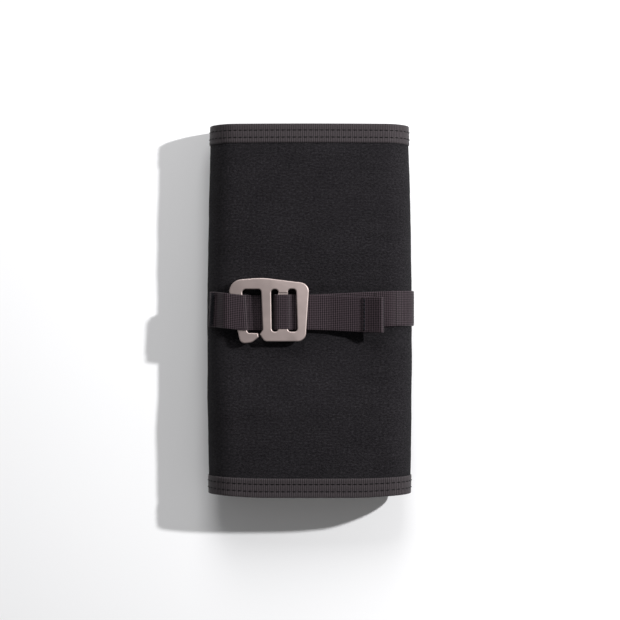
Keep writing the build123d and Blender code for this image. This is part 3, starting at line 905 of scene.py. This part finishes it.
def skin_sheet(name, line, thickness, material, body, node, columns=26):
    """One sheet of a folded skin, with slight waves."""
    low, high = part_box(node)
    points, normals = in_length(line)
    points[:, 0] = (low.x + high.x) / 2
    ring = tape_ring((high.x - low.x) / 2, thickness / 2, columns, 2)
    def soft(co):
        moved = co.copy()
        moved[:, 0] += 0.5 * MM * ripple(co, (0.2, 0.05, 0.004), 5) * np.sign(co[:, 0] - MIDDLE_X)
        moved[:, 2] += 0.16 * MM * ripple(co, (0.03, 0.03, 0.5), 6)
        return moved
    item = swept(name, points, normals, (1, 0, 0), ring, shape=soft)
    finish_piece(item, material, body, [node])
    return item


def skins():
    """Pile, glue and saver of both skins, with the sizes they were cut to."""
    made = []
    for name in ("lower", "upper"):
        line, glue_end = skin_line(name)
        dense = spaced(line, SKIN_STEP * 0.4)
        body = name + "_skin"
        node = body + "_"
        pile_line = doubled_line(dense, 1.0 * MM)
        pile = skin_sheet(name + "_pile", pile_line, 1.05 * MM, PLUSH, body, node + "plush")
        cut = dense[: len(dense) - int((dense[-1, 0] - glue_end) / (SKIN_STEP * 0.4))]
        glue_line = doubled_line(cut, 0.325 * MM)
        glue = skin_sheet(name + "_glue", glue_line, 0.22 * MM, GLUE, body, node + "glue", 12)
        saver = skin_sheet(name + "_saver", cut, 0.34 * MM, SAVER, body, node + "saver", 12)
        low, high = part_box(name + "_skin_plush")
        length = np.sum(np.linalg.norm(np.diff(dense, axis=0), axis=1))
        glued = np.sum(np.linalg.norm(np.diff(cut, axis=0), axis=1))
        made.append((pile, glue, saver, high.x - low.x, float(length), float(glued)))
    return made


# ---------------------------------------------------------------- carried-over parts
HOOK_BOW = 1.1 * MM


def hook_plate():
    """The hook's own outline, bowed slightly across its width."""
    source = frame["nodes"]["g_hook"]
    mesh = source.data.copy()
    item = bpy.data.objects.new("hook_plate", mesh)
    item.matrix_world = source.matrix_world.copy()
    bpy.context.scene.collection.objects.link(item)
    middle = (hook_low.x + hook_high.x) / 2
    half = (hook_high.x - hook_low.x) / 2
    to_world = source.matrix_world
    to_local = to_world.inverted()
    for vertex in mesh.vertices:
        place = to_world @ vertex.co
        place.z += HOOK_BOW * (1 - ((place.x - middle) / half) ** 2)
        vertex.co = to_local @ place
    mesh.update()
    finish_piece(item, HOOK, "hook", ["g_hook"])


def carried_over():
    """Finishes of the pieces that keep their CAD shape."""
    finishes = {}
    for name in ("lower", "upper"):
        finishes[name + "_tip_plate"] = STEEL
        finishes[name + "_tail_clip"] = STEEL
        finishes[name + "_tip_bail"] = WIRE
        finishes[name + "_tip_rivets"] = RIVET
        finishes[name + "_clip_pin"] = RIVET
        finishes[name + "_clip_lever"] = LEVER
        finishes[name + "_tail_strap"] = TAIL_WEB
    for node, material in finishes.items():
        item = frame["nodes"][node]
        item.data.materials.clear()
        item.data.materials.append(material)


# ---------------------------------------------------------------- stage, light and camera
def stage():
    """Pale floor, just under the ribs of the back strap."""
    reach = 6.0
    corners = [(-reach, -reach, 0), (reach, -reach, 0), (reach, reach, 0), (-reach, reach, 0)]
    floor = mesh_object("floor", corners, [(0, 1, 2, 3)], smooth=False)
    material, _, shader = node_material("paper_floor", (0.86, 0.86, 0.87), 0.9)
    shader.inputs["Specular IOR Level"].default_value = 0.1
    floor.data.materials.append(material)
    floor.location.z = -0.15 * MM


def lamp(name, shape, size, energy, direction, distance):
    """Area light that looks at the object from a direction."""
    data = bpy.data.lights.new(name, "AREA")
    data.shape = shape
    data.size = size
    data.energy = energy
    item = bpy.data.objects.new(name, data)
    towards = Vector(direction).normalized()
    item.location = towards * distance
    item.rotation_euler = towards.to_track_quat("Z", "Y").to_euler()
    bpy.context.scene.collection.objects.link(item)


def light():
    """Dim studio world, a small key lamp on the right and a wide fill lamp beyond the upper end."""
    world = bpy.data.worlds.new("studio")
    world.use_nodes = True
    world.node_tree.nodes["Background"].inputs["Color"].default_value = (1, 1, 1, 1)
    world.node_tree.nodes["Background"].inputs["Strength"].default_value = 0.24
    bpy.context.scene.world = world
    lamp("key", "DISK", size=0.05, energy=18.5, direction=(1.0, 0.44, 0.92), distance=1.25)
    lamp("fill", "SQUARE", size=1.0, energy=21.0, direction=(-0.05, 1.0, 0.8), distance=1.8)


def camera():
    """Camera straight above the front; field is the width it sees just above the cloth."""
    view = bpy.data.cameras.new("camera")
    distance = 1.2
    field = 0.4354
    view.sensor_width = 36
    view.lens = view.sensor_width * distance / field
    item = bpy.data.objects.new("camera", view)
    item.location = (-0.07 * MM, 0.49 * MM, CLOTH_TOP + 3.8 * MM + distance)
    bpy.context.scene.collection.objects.link(item)
    bpy.context.scene.camera = item
    bpy.context.scene.view_settings.view_transform = "Standard"


cloth, lining = wrap_cloth()
end_bindings()
edge_bindings()
strap_pieces()
bight_and_tail()
hem_stitches()
loop_pieces()
folded = skins()
hook_plate()
carried_over()
stage()
light()
camera()
